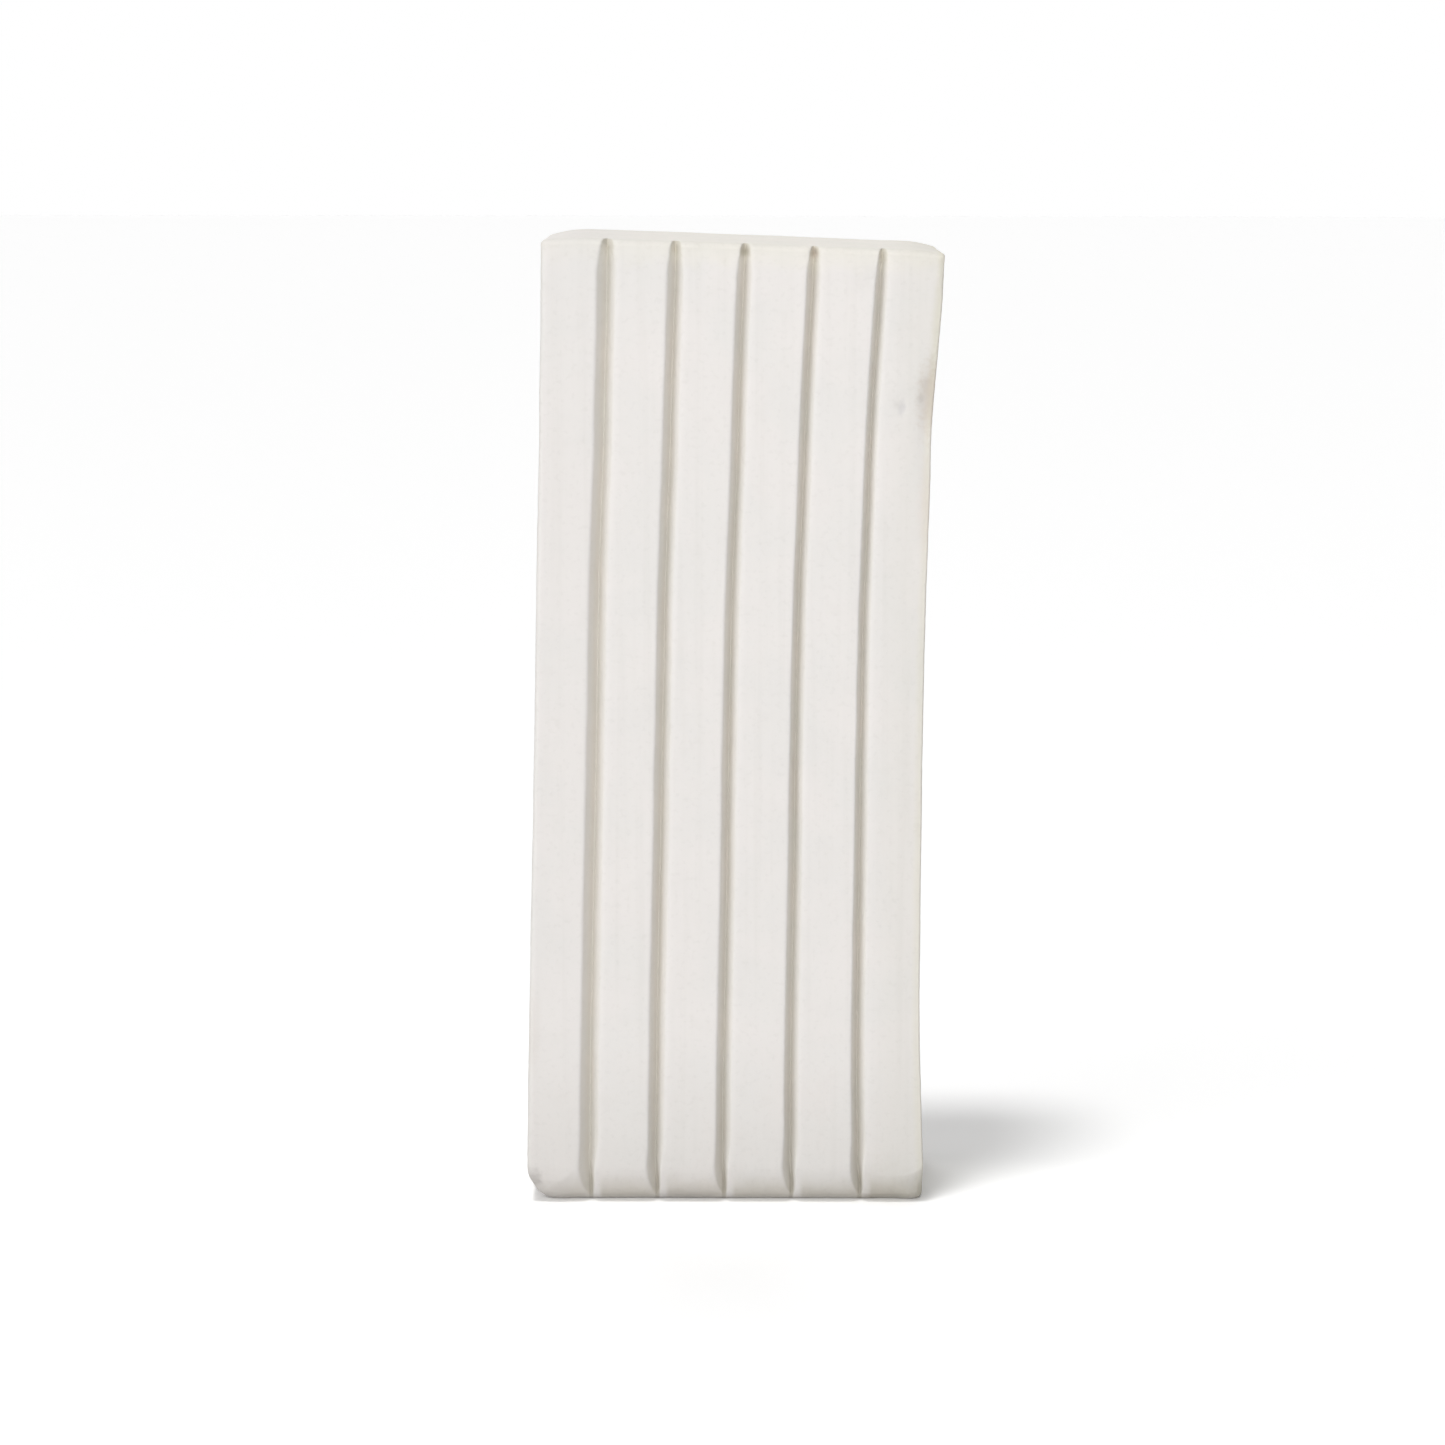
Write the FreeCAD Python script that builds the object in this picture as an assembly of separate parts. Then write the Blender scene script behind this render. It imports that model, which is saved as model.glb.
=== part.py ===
"""Gymnastics chalk block: one pressed cake of magnesium carbonate, scored into sticks.

Units are millimetres. The cake stands on its foot: +Z runs up its length, +X runs across
the sticks to the right, and the scored face looks along -Y. The grooves only weaken the
cake, so the sticks meet face to face behind them, and each stick is a solid of its own.
The origin is under the middle of the cake, at the level that it stands on.
"""

import FreeCAD
import Part
import os
from FreeCAD import Vector

# ---- Driving dimensions -----------------------------------------------------------------

# The cake
height = 127.3  # foot to crown at the left side
thickness = 25.4  # scored face to back
left_stick_width = 8.0  # left side to the first groove, half way up
inner_stick_width = 8.7  # groove to groove, half way up
inner_stick_count = 4
right_stick_width = 8.0  # last groove to the right side, half way up

# How drying has drawn the cake out of square
left_flare = 0.1  # how far the left side stands out at its ends beyond its middle
right_flare = 1.2  # the same on the right side
lean = 2.0  # how far the crown stands to the right of the foot
crown_fall = 1.7  # how much lower the crown is at the right side than at the left

# The scored grooves
groove_width = 2.2  # across the mouth
groove_depth = 2.2

# Rounded and worn edges
foot_front_radius = 6.0
foot_back_radius = 1.2
crown_front_radius = 1.0
crown_back_radius = 1.2
foot_left_corner = 5.0  # radii of the corners, seen from the front
foot_right_corner = 1.4
crown_left_corner = 1.8
crown_right_corner = 1.6
side_bevel = 0.7  # on the long outer edges, front and back

clear = 5.0  # how far cutting bodies run past the cake


# ---- Lines that run up the cake -----------------------------------------------------------

cake_width = left_stick_width + inner_stick_count * inner_stick_width + right_stick_width
left_side = -cake_width / 2
right_side = cake_width / 2
front = -thickness / 2
back = thickness / 2
groove_stations = [
    left_side + left_stick_width + n * inner_stick_width for n in range(inner_stick_count + 1)
]


def across(station, z):
    """X at height z of the line that passes the middle of the cake at X = station."""
    share = (station - left_side) / cake_width
    flare = share * right_flare - (1 - share) * left_flare
    from_middle = z / height - 0.5
    return station + lean * from_middle + flare * (2 * from_middle) ** 2


def crown_at(x):
    """Height of the crown above X."""
    return height - crown_fall * (x - left_side) / cake_width


def line_up(station, y, low, high):
    """The edge that follows a station from height low to height high: a parabola."""
    start, end = across(station, low), across(station, high)
    middle = (low + high) / 2
    pull = 2 * across(station, middle) - (start + end) / 2
    curve = Part.BezierCurve()
    curve.setPoles([Vector(start, y, low), Vector(pull, y, middle), Vector(end, y, high)])
    return curve.toShape()


def slab(left_station, right_station, y, depth, low, left_top, right_top):
    """The body between two stations, from height low up to a top that may slope."""
    left_edge = line_up(left_station, y, low, left_top)
    right_edge = line_up(right_station, y, low, right_top)
    foot_line = Part.makeLine(left_edge.Vertexes[0].Point, right_edge.Vertexes[0].Point)
    top_line = Part.makeLine(left_edge.Vertexes[-1].Point, right_edge.Vertexes[-1].Point)
    outline = Part.Wire([left_edge, top_line, right_edge, foot_line])
    return Part.Face(outline).extrude(Vector(0, depth, 0))


# ---- The cake before it is scored ---------------------------------------------------------


def round_corner(body, on_right, at_crown, radius):
    """Round the edge that runs from front to back at one corner of the cake."""

    def is_corner(edge):
        start, end = edge.Vertexes[0].Point, edge.Vertexes[-1].Point
        front_to_back = abs(abs(end.y - start.y) - thickness) < 1e-6
        middle = edge.CenterOfMass
        return front_to_back and (middle.x > 0) == on_right and (middle.z > height / 2) == at_crown

    return body.makeFillet(radius, [edge for edge in body.Edges if is_corner(edge)])


def rounded_end(x, end, inward, front_radius, back_radius, direction):
    """A body as thick as the cake, with one end rounded at front and back.

    end is the height of the rounded end at X = x, and inward is +1 where the body
    lies above it and -1 where it lies below.
    """

    def point(y, depth):
        return Vector(x, y, end + inward * depth)

    def quarter(side, y_step, radius):
        bend = radius * (1 - 0.5**0.5)
        tangent_up = point(side, radius)
        on_arc = point(side + y_step * bend, bend)
        tangent_flat = point(side + y_step * radius, 0)
        return tangent_up, Part.Arc(tangent_up, on_arc, tangent_flat).toShape(), tangent_flat

    reach = height + 2 * clear
    front_up, front_arc, front_flat = quarter(front, 1, front_radius)
    back_up, back_arc, back_flat = quarter(back, -1, back_radius)
    edges = [
        front_arc,
        Part.makeLine(front_flat, back_flat),
        back_arc,
        Part.makeLine(back_up, point(back, reach)),
        Part.makeLine(point(back, reach), point(front, reach)),
        Part.makeLine(point(front, reach), front_up),
    ]
    return Part.Face(Part.Wire(edges)).extrude(direction)


def make_cake():
    cake = slab(
        left_side,
        right_side,
        front,
        thickness,
        0,
        crown_at(across(left_side, height)),
        crown_at(across(right_side, height)),
    )
    cake = round_corner(cake, False, False, foot_left_corner)
    cake = round_corner(cake, True, False, foot_right_corner)
    cake = round_corner(cake, False, True, crown_left_corner)
    cake = round_corner(cake, True, True, crown_right_corner)
    start = left_side - 2 * clear
    run = cake_width + 4 * clear
    foot = rounded_end(start, 0, 1, foot_front_radius, foot_back_radius, Vector(run, 0, 0))
    crown = rounded_end(
        start,
        crown_at(start),
        -1,
        crown_front_radius,
        crown_back_radius,
        Vector(run, 0, crown_at(start + run) - crown_at(start)),
    )
    return cake.common(foot).common(crown)


# ---- Grooves and bevels -------------------------------------------------------------------


def bar_along(station, corners):
    """A three-sided bar that follows a station past both ends of the cake.

    corners are its three (offset from the station, Y) pairs.
    """
    low, high = -clear, height + clear
    spine = Part.Wire(line_up(station, front, low, high))
    foot = across(station, low)
    section = Part.makePolygon([Vector(foot + dx, y, low) for dx, y in corners + corners[:1]])
    return spine.makePipeShell([section], True, False)


def groove_bar(station):
    """A V that is groove_width wide at the scored face and comes to a point behind it."""
    widening = (groove_depth + clear) / groove_depth
    mouth = groove_width / 2 * widening
    return bar_along(station, [(-mouth, front - clear), (mouth, front - clear), (0, front + groove_depth)])


def bevel_bar(station, outward, face, inward):
    """A bar that bevels a long outer edge: outward is its side in X, inward its depth in Y."""
    near, far = side_bevel + clear, -clear
    return bar_along(
        station,
        [
            (-outward * near, face + inward * far),
            (-outward * far, face + inward * near),
            (-outward * far, face + inward * far),
        ],
    )


def score(cake):
    bars = [groove_bar(station) for station in groove_stations]
    for station, outward in ((left_side, -1), (right_side, 1)):
        bars.append(bevel_bar(station, outward, front, 1))
        bars.append(bevel_bar(station, outward, back, -1))
    for bar in bars:
        cake = cake.cut(bar)
    return cake


# ---- The sticks ---------------------------------------------------------------------------


def snap_apart(cake):
    """The cake divided below each groove, from front to back and from foot to crown."""
    breaks = [left_side - clear] + groove_stations + [right_side + clear]
    top = height + clear
    sticks = []
    for left, right in zip(breaks, breaks[1:]):
        span = slab(left, right, front - clear, thickness + 2 * clear, -clear, top, top)
        sticks.append(cake.common(span))
    return sticks


cake = score(make_cake())
box = cake.optimalBoundingBox()
to_origin = Vector(-box.Center.x, 0, 0)  # the flares leave the middle a little to one side

os.makedirs("parts", exist_ok=True)
for number, stick in enumerate(snap_apart(cake), start=1):
    stick.translate(to_origin)
    stick.exportStep(f"parts/chalk_stick_{number}.step")
    print(f"chalk_stick_{number}: {stick.Volume / 1000:.2f} cm3")
print(f"cake: {box.XLength:.2f} x {box.YLength:.2f} x {box.ZLength:.2f} mm, {cake.Volume / 1000:.2f} cm3")
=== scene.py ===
"""Gymnastics chalk block: one pressed cake of magnesium carbonate, scored into six sticks."""

import math

import bmesh
import bpy
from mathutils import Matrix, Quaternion, Vector, noise


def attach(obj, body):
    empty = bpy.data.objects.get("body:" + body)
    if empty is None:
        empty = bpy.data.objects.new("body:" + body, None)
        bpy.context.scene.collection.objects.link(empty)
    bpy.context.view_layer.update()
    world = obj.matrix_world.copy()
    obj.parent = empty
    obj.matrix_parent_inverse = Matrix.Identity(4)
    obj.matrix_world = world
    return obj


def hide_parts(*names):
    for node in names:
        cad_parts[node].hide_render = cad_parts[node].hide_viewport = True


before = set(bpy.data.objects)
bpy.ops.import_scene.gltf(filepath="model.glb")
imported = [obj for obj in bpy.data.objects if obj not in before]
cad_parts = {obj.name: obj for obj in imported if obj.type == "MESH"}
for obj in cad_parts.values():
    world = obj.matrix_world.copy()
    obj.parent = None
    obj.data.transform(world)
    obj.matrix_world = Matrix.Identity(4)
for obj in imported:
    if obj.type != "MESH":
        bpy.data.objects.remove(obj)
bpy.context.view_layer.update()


# ---- The six sticks -----------------------------------------------------------------------
# One cake of powdered magnesium carbonate, pressed damp in a mould whose ribs score its face,
# then dried. The sticks stay joined behind the scores until one is snapped off, so each is
# cut from the same cake and meets its neighbours. In millimetres until a stick is finished.

width, thickness, height = 50.8, 25.4, 127.3
outer_left, outer_right = -width / 2, width / 2
scores = [outer_left + reach for reach in (8.05, 16.68, 25.45, 34.2, 42.77)]  # their roots
breaks = [outer_left] + scores + [outer_right]

corners = {  # reach across and up of each rounded corner, seen from the front
    ("left", "foot"): (5.1, 5.8),
    ("right", "foot"): (1.5, 1.6),
    ("left", "crown"): (0.5, 0.5),
    ("right", "crown"): (0.4, 0.35),
}
end_edges = {  # how far the edges of its ends are rounded
    ("foot", "front"): 6.0,
    ("foot", "back"): 1.6,
    ("crown", "front"): 0.9,
    ("crown", "back"): 1.2,
}
foot_tuck = 0.88  # how far the front of the foot runs back, for each millimetre up
side_edges = {"left": 0.7, "right": 0.25}
widest_round = 6.2  # further in than this, no edge is felt
side_pull = {"left": 1.0, "right": 0.5}  # how soon the rounding of an end turns up each side
foot_wear, foot_wear_height = 0.5, 12.0  # the face runs back a little towards the foot
side_wear, side_wear_width = 0.25, 8.4  # and towards the right side


def round_off(a, b, radius):
    """Depths below two faces that meet, once their edge is rounded to a radius."""
    u, v = radius - a, radius - b
    if u <= 0 or v <= 0:
        return a, b
    shrink = max(u, v) / math.hypot(u, v)
    return radius - u * shrink, radius - v * shrink


def pressed(x, y, z):
    """A point of the square block, moved to where the mould's rounded edges put it."""
    side = "left" if x < 0 else "right"
    end = "foot" if z < height / 2 else "crown"
    from_side = x - outer_left if side == "left" else outer_right - x
    from_end = z if end == "foot" else height - z
    to_side = max(widest_round - from_side, 0) * side_pull[side]
    to_end = max(widest_round - from_end, 0)
    from_rim = min(from_side, from_end)
    across, up = corners[side, end]
    from_side, from_end = round_off(from_side / across, from_end / up, 1)
    from_side, from_end = from_side * across, from_end * up

    face = "front" if y < 0 else "back"
    from_face = y + thickness / 2 if face == "front" else thickness / 2 - y
    radius, tuck = 0.0, 1.0
    if to_side or to_end:
        toward_side = to_side / math.hypot(to_side, to_end)
        toward_end = to_end / math.hypot(to_side, to_end)
        if (end, face) == ("foot", "front"):
            tuck = 1 - (1 - foot_tuck) * toward_end**2
        radius = side_edges[side] * toward_side**2 + end_edges[end, face] * toward_end**2
        inward, from_face = round_off(from_rim, from_face / tuck, radius)
        from_face *= tuck
        from_side += toward_side * (inward - from_rim)
        from_end += toward_end * (inward - from_rim)
        from_rim = inward

    x = outer_left + from_side if side == "left" else outer_right - from_side
    z = from_end if end == "foot" else height - from_end
    y = from_face - thickness / 2 if face == "front" else thickness / 2 - from_face
    curve_back = 0.0
    if from_rim < radius:
        curve_back = tuck * (radius - math.sqrt(radius**2 - (radius - from_rim) ** 2))
    return x, y, z, curve_back


def face_wear(x, z):
    """How far the face stands back at one place of it."""
    low = max(1 - z / foot_wear_height, 0)
    outer = max(1 - (outer_right - x) / side_wear_width, 0)
    return foot_wear * low**2 + side_wear * outer**2


score_depth = 2.2
score_left_wall = [1.1, 0.85, 0.76, 0.70, 0.66]  # from lip to root, for each score
score_right_wall = [0.92, 0.87, 0.82, 0.80, 0.76]
score_left_lip, score_right_lip, score_root = 0.12, 0.6, 0.12  # how blunt they are
lip_blend = 0.3  # how far to each side of the root the one lip becomes the other
score_wander, wander_length = 0.06, 6  # how unevenly its walls run, and from hill to hill
wander_step = 17.3  # far enough for no two walls to wander alike
turn, turn_heights = 0.36, (3, 10)  # how far the root runs to the right, down near the foot
lip_turn = 0.6  # the share of its bluntness that the right lip loses there
toe, toe_heights = 0.14, (2.5, 6.5)  # how much wider and blunter the left wall then gets
shift, shift_heights = 0.3, (2.2, 6.5)  # how far the whole score then moves to the right
crown_loss, crown_loss_reach = 0.4, 4.5  # the share of its depth that it loses at the crown
loss, loss_heights = [0.0, 0.0, 0.02, 0.05, 0.13], (20, 90)  # and that each loses on the way


def eased(value, low, high):
    """0 below low, 1 above high, and a soft rise between."""
    share = min(max((value - low) / (high - low), 0), 1)
    return share * share * (3 - 2 * share)


def score_at(x, z, stands_back):
    """How deep the nearest score is below the face, where the face itself stands back."""
    number = min(range(len(scores)), key=lambda n: abs(x - scores[n]))
    off = x - scores[number] - shift * (1 - eased(z, *shift_heights))
    turned = 1 - eased(z, *turn_heights)
    widened = toe * (1 - eased(z, *toe_heights))
    if off < 0:
        wall, strand = score_left_wall[number] + turn * turned + widened, 2 * number
    else:
        wall, strand = score_right_wall[number] - turn * turned, 2 * number + 1
    left_lip, right_lip = score_left_lip + widened, score_right_lip * (1 - turned * lip_turn)
    lip = left_lip + (right_lip - left_lip) * eased(off, -lip_blend, lip_blend)
    along = Vector((wander_step * strand, z / wander_length, 0.5))
    wall *= 1 + score_wander * noise.noise(along)
    depth = score_depth * (1 - crown_loss * eased(z, height - crown_loss_reach, height))
    depth *= 1 - loss[number] * eased(z, *loss_heights)
    steep = score_depth / wall
    below = depth - stands_back - steep * (math.hypot(off, score_root) - score_root)
    return max((below + math.hypot(below, lip)) / 2 - lip**2 / (4 * score_depth), 0.0)


def scored(x, y, z, curve_back):
    """The point, moved back where a score runs down the worn face, and its depth in the score."""
    surface = curve_back - thickness / 2
    stands_back = curve_back + face_wear(x, z)
    down = score_at(x, z, stands_back)
    bottom = stands_back + down - thickness / 2
    back = thickness / 2
    at = Vector((x, bottom + (y - surface) * (back - bottom) / (back - surface), z))
    return at, down if y - surface < 0.01 else 0.0


knocks = [  # x, z, reach across and up, and the way that the chalk has moved
    (24.9, 105.0, 1.5, 6.0, (-0.22, 0.30, 0)),  # the edge where it is gripped
    (24.4, 110.1, 0.7, 0.8, (0, 0.13, 0)),
    (24.0, 108.0, 0.6, 0.6, (0, 0.16, 0)),
    (21.2, 106.9, 0.45, 0.8, (0, 0.14, 0)),
    (20.5, 107.2, 0.4, 0.5, (0, 0.09, 0)),
    (20.1, 109.6, 1.2, 2.2, (0, -0.08, 0)),
    (23.5, 87.3, 0.5, 1.2, (0, 0.08, 0)),
    (-24.3, 3.2, 0.9, 1.1, (0.15, 0.30, 0.15)),  # a rubbed corner
    (21.4, 1.0, 1.8, 0.5, (0, 0.10, 0.12)),
    (-17.6, 126.6, 0.4, 0.35, (0, -0.4, 0)),  # a crumb caught in the first score
    (0.1, 126.4, 0.45, 0.45, (0, 0.3, -0.1)),
    (8.9, 126.5, 0.4, 0.4, (0, 0.3, -0.1)),
    (24.6, 125.4, 1.0, 0.9, (-0.05, 0.12, -0.05)),
    (14.6, 124.6, 0.35, 0.3, (0, 0.08, 0)),
    (16.1, 123.3, 0.4, 0.3, (0, 0.08, 0)),
    (15.3, 122.2, 0.3, 0.35, (0, 0.07, 0)),
]
knock_depth = 3.0  # its reach back from the face
knock_end = 3  # how many reaches from its middle it is no longer felt
unevenness = [  # from hill to hill, how far it moves the chalk, and where its pattern starts
    (31, 0.16, (7, 3, 11)),
    (7, 0.05, (1, 19, 5)),
    (1.3, 0.018, (23, 2, 8)),
]
cake_number = 1795342859  # another number would put the hills of the cake in other places
noise.seed_set(cake_number)


def worn(at):
    """The point, moved by the unevenness of a dry cake that has been handled."""
    moved = at.copy()
    for length, amount, start in unevenness:
        moved += noise.noise_vector(at / length + Vector(start)) * amount
    behind = (at.y + thickness / 2) / knock_depth
    if behind < knock_end:
        for x, z, across, up, way in knocks:
            away = ((at.x - x) / across) ** 2 + ((at.z - z) / up) ** 2 + behind**2
            if away < knock_end**2:
                moved += Vector(way) * math.exp(-away)
    return moved


# How drying has drawn it out of square. Each pair in brackets is two heights, as shares of the
# whole, that a bend comes in or dies away between.
left_flare, right_flare = 0.2, 1.1  # how far the ends of its sides stand out
lean, to_middle = 2.22, -0.5  # how far the crown leans, and what brings the cake to the middle
sway, sway_start, sway_length = 0.2, 0.13, 0.75  # the slow wave of the right side
left_swing, left_swing_up = 0.6, (0.61, 0.82)  # how far its left part swings to the right
right_swing, right_swing_up = 0.25, (0.82, 0.98)  # and its right part, further up
swing_at_left, swing_rise, swing_fall = 0.5, 3.2, 8  # how that comes and goes across the sticks
hollow, hollow_up = 1.7, (0.1, 0.38)  # how far its right part is drawn in, low down
tip, tip_up = 0.2, (0.85, 0.97)  # how far the right side stands out at the crown
heel, heel_up = 0.4, (0.02, 0.22)  # and at the foot
crown_rise, crown_fall = 0.14, 1.77  # its height on the left, and how far it falls to the right
crown_droop = {"left": (1.1, 5.6), "right": (0.75, 4.8)}  # how far its ends sink, over what reach
droop_middle, droop_back = 0.72, 0.28  # the share of that in the middle, and more at the back
foot_flat = 0.8  # how much of the foot has been pressed flat by the board that it dried on


def dried(at):
    """The point, moved to where drying has drawn the cake out of square."""
    share, up = (at.x - outer_left) / width, at.z / height
    rest = 1 - share
    flare = share * right_flare - rest * left_flare
    across = at.x + lean * (up - 0.5) + flare * (2 * up - 1) ** 2 + to_middle
    across += sway * share**2 * math.cos(math.pi * (up - sway_start) / sway_length)
    swing = left_swing * rest * eased(up, *left_swing_up)
    swing += right_swing * share * eased(up, *right_swing_up)
    across += swing * min(swing_at_left + swing_rise * share, swing_fall * rest, 1)
    across -= hollow * share**2 * rest * (1 - eased(up, *hollow_up))
    across += tip * share**8 * eased(up, *tip_up)
    across += heel * share**4 * (1 - eased(up, *heel_up))
    level = at.z * (1 + (crown_rise - crown_fall * share) / height)
    droop, reach = crown_droop["left" if share < 0.5 else "right"]
    droop *= droop_middle + droop_back * at.y / (thickness / 2)
    level -= droop * up * max(1 - width * min(share, rest) / reach, 0) ** 2
    return Vector((across, at.y, max(level - foot_flat * (1 - up), 0.0)))


def graded(share, evenness):
    """A share of a length, with the cuts drawn closer together towards both ends."""
    return share - (1 - evenness) * math.sin(2 * math.pi * share) / (2 * math.pi)


stick_cuts = [37, 39, 449]  # across, from front to back, and up
cut_evenness = [0.35, 0.4, 0.5]  # 1 would space them evenly


def make_stick(name, left, right):
    """A stick as a closed mesh, cut finely enough to be shaped point by point."""
    stick = bmesh.new()
    bmesh.ops.create_cube(stick, size=1)
    bmesh.ops.translate(stick, verts=stick.verts, vec=(0.5, 0.5, 0.5))
    for axis, cuts in enumerate(stick_cuts):
        along = [
            edge for edge in stick.edges
            if abs(edge.verts[0].co[axis] - edge.verts[1].co[axis]) > 0.5
        ]
        bmesh.ops.subdivide_edges(stick, edges=along, cuts=cuts, use_grid_fill=True)
    for edge in stick.edges:
        edge.smooth = edge.link_faces[0].normal.dot(edge.link_faces[1].normal) > 0.5
    for face in stick.faces:
        face.smooth = True
    stick.verts.layers.float_vector.new("cast")  # where a point was before the cake dried
    stick.verts.layers.float.new("down_score")  # how deep it lies in a score
    cast, down = stick.verts.layers.float_vector["cast"], stick.verts.layers.float["down_score"]
    for point in stick.verts:
        across, back, up = map(graded, point.co, cut_evenness)
        x, y, z = left + (right - left) * across, thickness * (back - 0.5), height * up
        point[cast], point[down] = scored(*pressed(x, y, z))
        point.co = dried(worn(point[cast])) / 1000
    mesh = bpy.data.meshes.new(name)
    stick.to_mesh(mesh)
    stick.free()
    piece = bpy.data.objects.new(name, mesh)
    bpy.context.scene.collection.objects.link(piece)
    return piece


class Tone:
    """A socket of a material. Arithmetic on it adds Math nodes, and node() adds any other."""

    def __init__(self, tree, socket=None):
        self.tree, self.socket = tree, socket

    def node(self, kind, settings=None, values=None, out=0):
        made = self.tree.nodes.new("ShaderNode" + kind)
        for key, value in (settings or {}).items():
            setattr(made, key, value)
        for key, value in (values or {}).items():
            if isinstance(value, Tone):
                self.tree.links.new(value.socket, made.inputs[key])
            else:
                made.inputs[key].default_value = value
        return Tone(self.tree, made.outputs[out] if made.outputs else None)

    def maths(self, operation, *terms):
        return self.node("Math", {"operation": operation}, dict(enumerate(terms)))

    def __add__(self, other):
        return self.maths("ADD", self, other)

    def __sub__(self, other):
        return self.maths("SUBTRACT", self, other)

    def __rsub__(self, other):
        return self.maths("SUBTRACT", other, self)

    def __mul__(self, other):
        return self.maths("MULTIPLY", self, other)

    __radd__, __rmul__ = __add__, __mul__


def new_finish(name):
    """A material with nothing in it, and the bench to build it on."""
    finish = bpy.data.materials.new(name)
    finish.use_nodes = True
    finish.node_tree.nodes.clear()
    return finish, Tone(finish.node_tree)


chalk, bench = new_finish("chalk")
place = bench.node("TexCoord", out="Object")
mm = bench.node("VectorMath", {"operation": "SCALE"}, {0: place, "Scale": 1000.0})
cast = bench.node("Attribute", {"attribute_name": "cast"}, out="Vector")
cast_x, cast_y, cast_z = (
    bench.node("SeparateXYZ", {}, {0: cast}, out=axis) for axis in ("X", "Y", "Z")
)
down_score = bench.node("Attribute", {"attribute_name": "down_score"}, out="Fac")


def powder(size, detail, stretch=(1, 1, 1)):
    """A noise whose clumps are about a size across, in millimetres."""
    pulled = bench.node("Mapping", {}, {"Vector": mm, "Scale": stretch})
    return bench.node("TexNoise", {}, {"Vector": pulled, "Scale": 1 / size, "Detail": detail})


def fade(value, low, high):
    """0 below low and 1 above high, or the other way round."""
    settings = {"interpolation_type": "SMOOTHSTEP"}
    return bench.node("MapRange", settings, {0: value, 1: low, 2: high, 3: 0.0, 4: 1.0})


def vector_maths(operation, first, second):
    return bench.node("VectorMath", {"operation": operation}, {0: first, 1: second})


def patch(middle, reach, ragged):
    """1 in the middle of a patch of the cake, fading to 0 at its ragged rim."""
    away = vector_maths("DIVIDE", vector_maths("SUBTRACT", cast, middle), reach)
    far = bench.node("VectorMath", {"operation": "LENGTH"}, {0: away}, out="Value")
    return fade(far + (grain - 0.5) * ragged, 1.1, 0.2)


def tint(share, under, colour):
    """The colour under a stain, or under painted shade, that takes up some of its light."""
    settings = {"data_type": "RGBA", "blend_type": "MULTIPLY"}
    return bench.node("Mix", settings, {0: share, 6: under, 7: (*colour, 1)}, out=2)


grain = powder(0.7, 6.0)
clumps = powder(2.6, 3.0)
mottle = powder(9.0, 3.0)
streaks = powder(1.1, 3.0, (1, 1, 0.025))  # drawn out along the sticks

clean = bench.node("RGB")  # the powder itself, which is never quite even
clean.socket.default_value = (0.85, 0.818, 0.793, 1)
colour = tint(fade(mottle, 0.35, 0.7), clean, (0.975, 0.985, 0.985))
colour = tint(fade(streaks, 0.45, 0.75) * 0.6, colour, (0.96, 0.96, 0.955))
colour = tint(fade(clumps, 0.5, 0.8) * 0.5, colour, (0.965, 0.965, 0.96))
colour = tint(fade(grain, 0.52, 0.72) * 0.5, colour, (0.94, 0.94, 0.935))

# Its crown has yellowed a little and is painted a shade lighter, as painted light on the top; the
# front edge of the crown is darkened with painted shade over its highlight.
# Partly yellowing, partly painted light that makes the top a shade lighter.
crown = fade(cast_z + (clumps - 0.5) * 3, height - 4.0, height - 1.2)
crown *= 0.4 + fade(cast_x, outer_left, outer_left + 20.0) * 0.6
colour = tint(crown, colour, (1.015, 1.015, 0.98))
from_face, from_crown = cast_y + thickness / 2, height - cast_z
# Painted shade along the front edge of the crown, over the highlight that it catches.
painted_shade_crown_rim = fade(from_face + from_crown + (clumps - 0.5) * 0.5, 1.5, 0.5)
colour = tint(painted_shade_crown_rim, colour, (0.98, 0.98, 0.97))

# Painted shade darkens it low down and more on the rounded foot, but the lip right of each score
# is kept lighter there as a painted highlight, and a line of painted shade runs down the last of
# each root.
# Painted shade, darker towards the foot.
low = fade(cast_z + (mottle - 0.5) * 12, 25.0, 6.0)
colour = tint(low, colour, (0.925, 0.925, 0.92))
pitch = (scores[-1] - scores[0]) / (len(scores) - 1)
in_pitches = (cast_x - scores[0]) * (1 / pitch)
beside = bench.maths("FRACT", in_pitches)
on_face = fade(from_face, 8.0, 4.5)
# The lit lip right of each score is kept out of the painted shade at the foot, as a painted
# highlight.
painted_highlight_lip = fade(beside, 0.04, 0.09) * fade(beside, 0.22, 0.13) * on_face
# Painted shade, warm grey, on the rounded foot, weaker at the left corner and at the very bottom.
foot = fade(cast_z + (clumps - 0.5) * 2, 5.2, 1.4) * (1 - painted_highlight_lip)
foot *= 0.35 + fade(cast_x, outer_left + 1.0, outer_left + 9.0) * 0.65
foot *= 0.25 + fade(cast_z, 0.7, 1.7) * 0.75
colour = tint(foot, colour, (0.82, 0.805, 0.76))
# A line of painted shade down the last of each root, near the foot.
from_root = bench.maths("PINGPONG", in_pitches - 0.03, 0.5)
root = fade(from_root, 0.045, 0.015) * fade(cast_z, 7.0, 3.5) * on_face
colour = tint(root, colour, (0.83, 0.82, 0.80))

# The left stick is a shade greyer than the rest and the right edge is yellower, and the right
# stick is darkened with painted shade.
right_side = fade(cast_x + (clumps - 0.5) * 0.6, outer_right - 1.3, outer_right - 0.4)
colour = tint(right_side, colour, (0.99, 0.985, 0.94))
# Painted shade, darker on the right stick.
painted_shade_right_stick = fade(cast_x, outer_right - 8.0, outer_right - 2.5)
colour = tint(painted_shade_right_stick, colour, (0.965, 0.967, 0.955))
left_stick = fade(cast_x, scores[0] + 1.0, scores[0] - 1.0)
colour = tint(left_stick, colour, (0.985, 0.985, 0.985))
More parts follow.
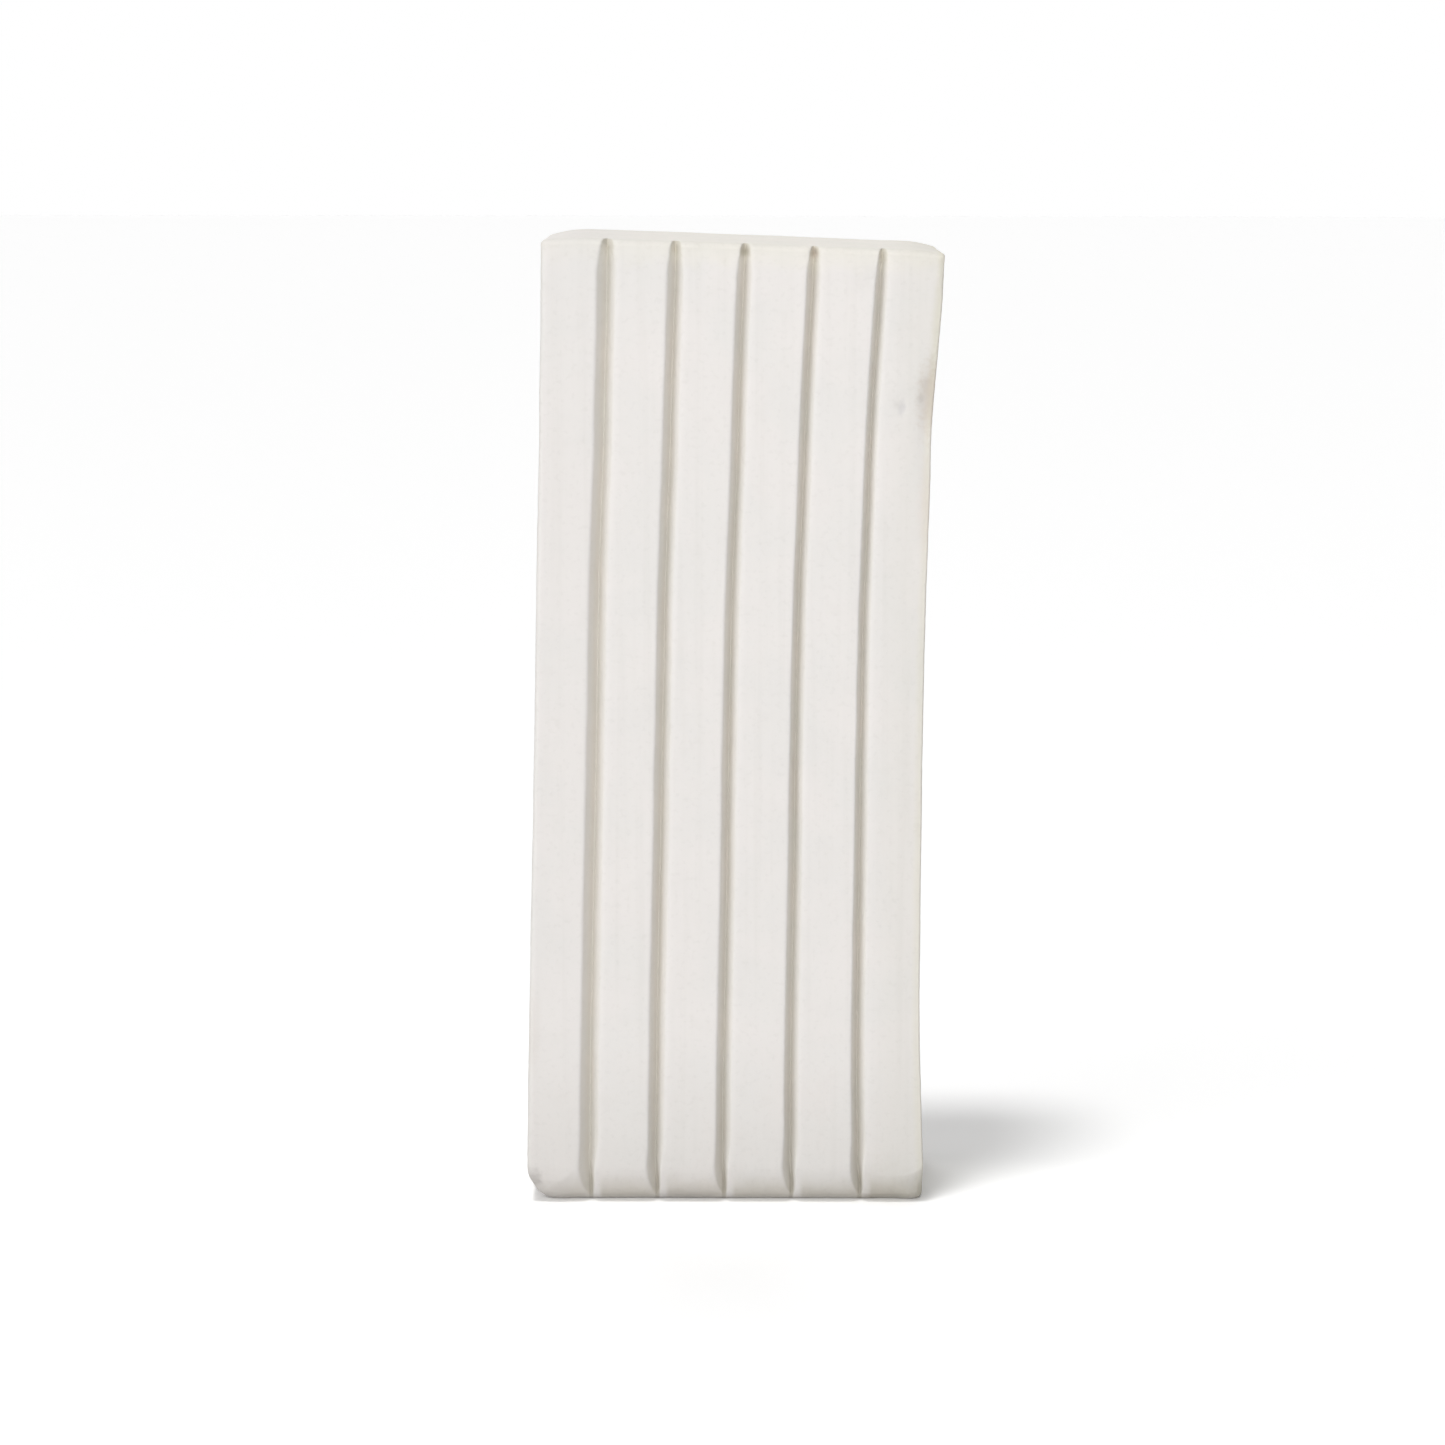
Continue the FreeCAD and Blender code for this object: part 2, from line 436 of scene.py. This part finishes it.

# Painted shade darkens and browns the scores, more where they are deepest and most of all at
# their tops.
# Painted shade inside the scores.
painted_shade_in_score = fade(down_score, 0.0, 0.3)
colour = tint(painted_shade_in_score, colour, (0.965, 0.963, 0.94))
painted_shade_score_bottom = fade(down_score + (clumps - 0.5) * 0.6, 0.7, 1.9)
colour = tint(painted_shade_score_bottom, colour, (0.98, 0.975, 0.955))
# Painted shade at the tops of the scores.
painted_shade_score_top = painted_shade_in_score * fade(cast_z + (grain - 0.5) * 2, height - 2.2, height - 0.8)
colour = tint(painted_shade_score_top, colour, (0.91, 0.90, 0.875))
stains_and_painted_shade = [  # middle, reach, strength, and the share of its light that each leaves
    ((25.0, -12.0, 109.0), (2.4, 3.0, 6.6), 1.0, (0.85, 0.81, 0.765)),
    ((24.9, -12.0, 95.0), (1.5, 3.0, 9.0), 0.6, (0.96, 0.92, 0.90)),
    ((24.4, -12.7, 110.1), (1.1, 2.0, 1.4), 0.6, (0.95, 0.94, 0.94)),
    ((24.0, -12.7, 108.0), (1.1, 2.0, 1.3), 0.7, (0.93, 0.93, 0.94)),
    ((21.2, -12.7, 106.9), (0.7, 2.0, 1.3), 0.9, (0.86, 0.86, 0.88)),
    ((20.5, -12.7, 107.2), (0.6, 2.0, 0.8), 0.6, (0.92, 0.92, 0.92)),
    ((-24.5, -11.5, 4.1), (1.5, 3.0, 2.2), 1.0, (0.79, 0.785, 0.78)),
    # Painted shade over the lit rounding of the left foot corner.
    ((-23.0, -11.0, 3.6), (3.4, 3.5, 3.4), 0.6, (0.93, 0.92, 0.915)),
    # Painted shade over the right of the foot.
    ((20.8, -11.0, 2.5), (5.0, 3.5, 7.0), 0.75, (0.90, 0.89, 0.865)),
    # Painted shade along the middle of the foot.
    ((-4.0, -10.0, 1.5), (6.0, 3.0, 2.4), 0.8, (0.92, 0.92, 0.93)),
    ((25.2, -12.0, 119.0), (1.4, 3.0, 9.0), 1.0, (0.93, 0.93, 0.90)),
    ((-25.0, -12.0, 24.0), (1.5, 3.0, 8.0), 0.6, (0.93, 0.92, 0.90)),
    ((18.6, -10.5, 0.9), (1.6, 3.0, 1.2), 0.8, (0.84, 0.83, 0.80)),
    ((15.3, -12.7, 123.4), (2.2, 2.0, 2.4), 0.5, (0.96, 0.96, 0.955)),
    ((-17.6, -12.0, 127.0), (0.6, 2.5, 0.7), 0.7, (0.80, 0.79, 0.76)),
    ((0.1, -12.0, 126.2), (0.8, 2.0, 0.9), 0.7, (0.78, 0.77, 0.74)),
    ((8.9, -12.0, 126.4), (0.7, 2.0, 0.9), 0.6, (0.84, 0.78, 0.76)),
]
for middle, reach, strength, left_over in stains_and_painted_shade:
    colour = tint(patch(middle, reach, 0.9) * strength, colour, left_over)

relief = grain * 0.55 + clumps * 0.45
relief_height = 0.08 / 1000
bump = bench.node("Bump", {}, {"Strength": 0.5, "Distance": relief_height, "Height": relief})
body = {"Base Color": colour, "Roughness": 0.95, "Specular IOR Level": 0.12, "Normal": bump}
bench.node("OutputMaterial", {}, {"Surface": bench.node("BsdfPrincipled", {}, body)})

for number, (left, right) in enumerate(zip(breaks, breaks[1:]), start=1):
    stick = make_stick(f"stick_{number}", left, right)
    stick.data.materials.append(chalk)
    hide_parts(f"chalk_stick_{number}")
    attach(stick, "root")


# ---- The floor ----------------------------------------------------------------------------
# A plain, matt table top that the block stands on. To the chalk above it, it is pale grey.
# To the eye it is white, with the block's shadow on it.


def shown(bench):
    """1 for what is looked at, straight or in a mirror or through glass, and else 0."""
    ways = ("Camera", "Glossy", "Transmission")
    straight, mirrored, through = (bench.node("LightPath", out=f"Is {way} Ray") for way in ways)
    return bench.maths("MINIMUM", straight + mirrored + through, 1.0)


table_grey, table_white = 0.78, 1
white_excess = 0.155  # what the white gives back beyond all that it gets, to stay white


def matt(level):
    """A matt surface of one grey."""
    return bench.node("BsdfDiffuse", {}, {"Color": (level, level, level, 1)})


table_top, bench = new_finish("table_top")
white = bench.node("AddShader", {}, {0: matt(table_white), 1: matt(white_excess)})
surface = bench.node("MixShader", {}, {0: shown(bench), 1: matt(table_grey), 2: white})
bench.node("OutputMaterial", {}, {"Surface": surface})

floor_reach = 3.0  # metres, from the block to each side
slab = bmesh.new()
bmesh.ops.create_grid(slab, x_segments=1, y_segments=1, size=floor_reach)
floor = bpy.data.objects.new("floor", bpy.data.meshes.new("floor"))
slab.to_mesh(floor.data)
slab.free()
floor.data.materials.append(table_top)
bpy.context.scene.collection.objects.link(floor)


# ---- Lamps and surroundings -----------------------------------------------------------------
# Large soft lamps hang round the table: the key high on the left, and others at the left
# side, behind and low in front to fill its shadows. A plain white room surrounds them.


def hang(name, light, azimuth, elevation, distance):
    """Point a lamp at the block. Azimuth 0 is in front of the face, and left is negative."""
    lamp = bpy.data.objects.new(name, light)
    aside, rise = math.radians(azimuth), math.radians(elevation)
    out = math.cos(rise)
    way = Vector((math.sin(aside) * out, -math.cos(aside) * out, math.sin(rise)))
    middle_of_block = Vector((0, 0, height / 2 / 1000))
    lamp.location = way * distance + middle_of_block
    lamp.rotation_euler = way.to_track_quat("Z", "Y").to_euler()
    bpy.context.scene.collection.objects.link(lamp)
    return lamp


far_lamps = [  # name, azimuth, elevation, how wide it looks, and strength
    ("key", -33, 74, 10, 0.345),
    ("side", -50, 28, 45, 0.25),
    ("behind", 180, 35, 60, 0.37),
]
for name, azimuth, elevation, spread, strength in far_lamps:
    light = bpy.data.lights.new(name, "SUN")
    light.angle, light.energy = math.radians(spread), strength * math.pi
    hang(name, light, azimuth, elevation, 2)

front_elevation, front_distance, front_size, front_strength = 9.5, 0.65, 0.72, 0.372
light = bpy.data.lights.new("front", "AREA")
light.shape, light.size = "DISK", front_size
light.energy = front_strength * math.pi**2 * (front_distance**2 + front_size**2 / 4)
hang("front", light, 0, front_elevation, front_distance).visible_camera = False

world = bpy.data.worlds.new("surroundings")
bpy.context.scene.world = world
world.use_nodes = True
world.node_tree.nodes.clear()
bench = Tone(world.node_tree)
room_light, room_white = 0.187, 1.0
ambient, white = (
    bench.node("Background", {}, {"Color": (1, 1, 1, 1), "Strength": strength})
    for strength in (room_light, room_white)
)
surface = bench.node("MixShader", {}, {0: shown(bench), 1: ambient, 2: white})
bench.node("OutputWorld", {}, {"Surface": surface})


# ---- Camera -----------------------------------------------------------------------------------
# A long lens, a little above the block, that looks down at the middle of its face. Its places are
# in metres.

view = bpy.data.cameras.new("camera")
view.sensor_width, view.lens = 36, 112.36
view.clip_start, view.clip_end = 0.05, 20
camera = bpy.data.objects.new("camera", view)
eye, aim = Vector((-0.0005, -0.5929, 0.15515)), Vector((-0.0013, 0, 0.06252))
camera.location = eye
camera.rotation_mode = "QUATERNION"
tilt = 0.08  # degrees
roll = Quaternion((0, 0, 1), math.radians(tilt))
camera.rotation_quaternion = (aim - eye).to_track_quat("-Z", "Y") @ roll
bpy.context.scene.collection.objects.link(camera)
bpy.context.scene.camera = camera
bpy.context.scene.view_settings.view_transform = "Standard"
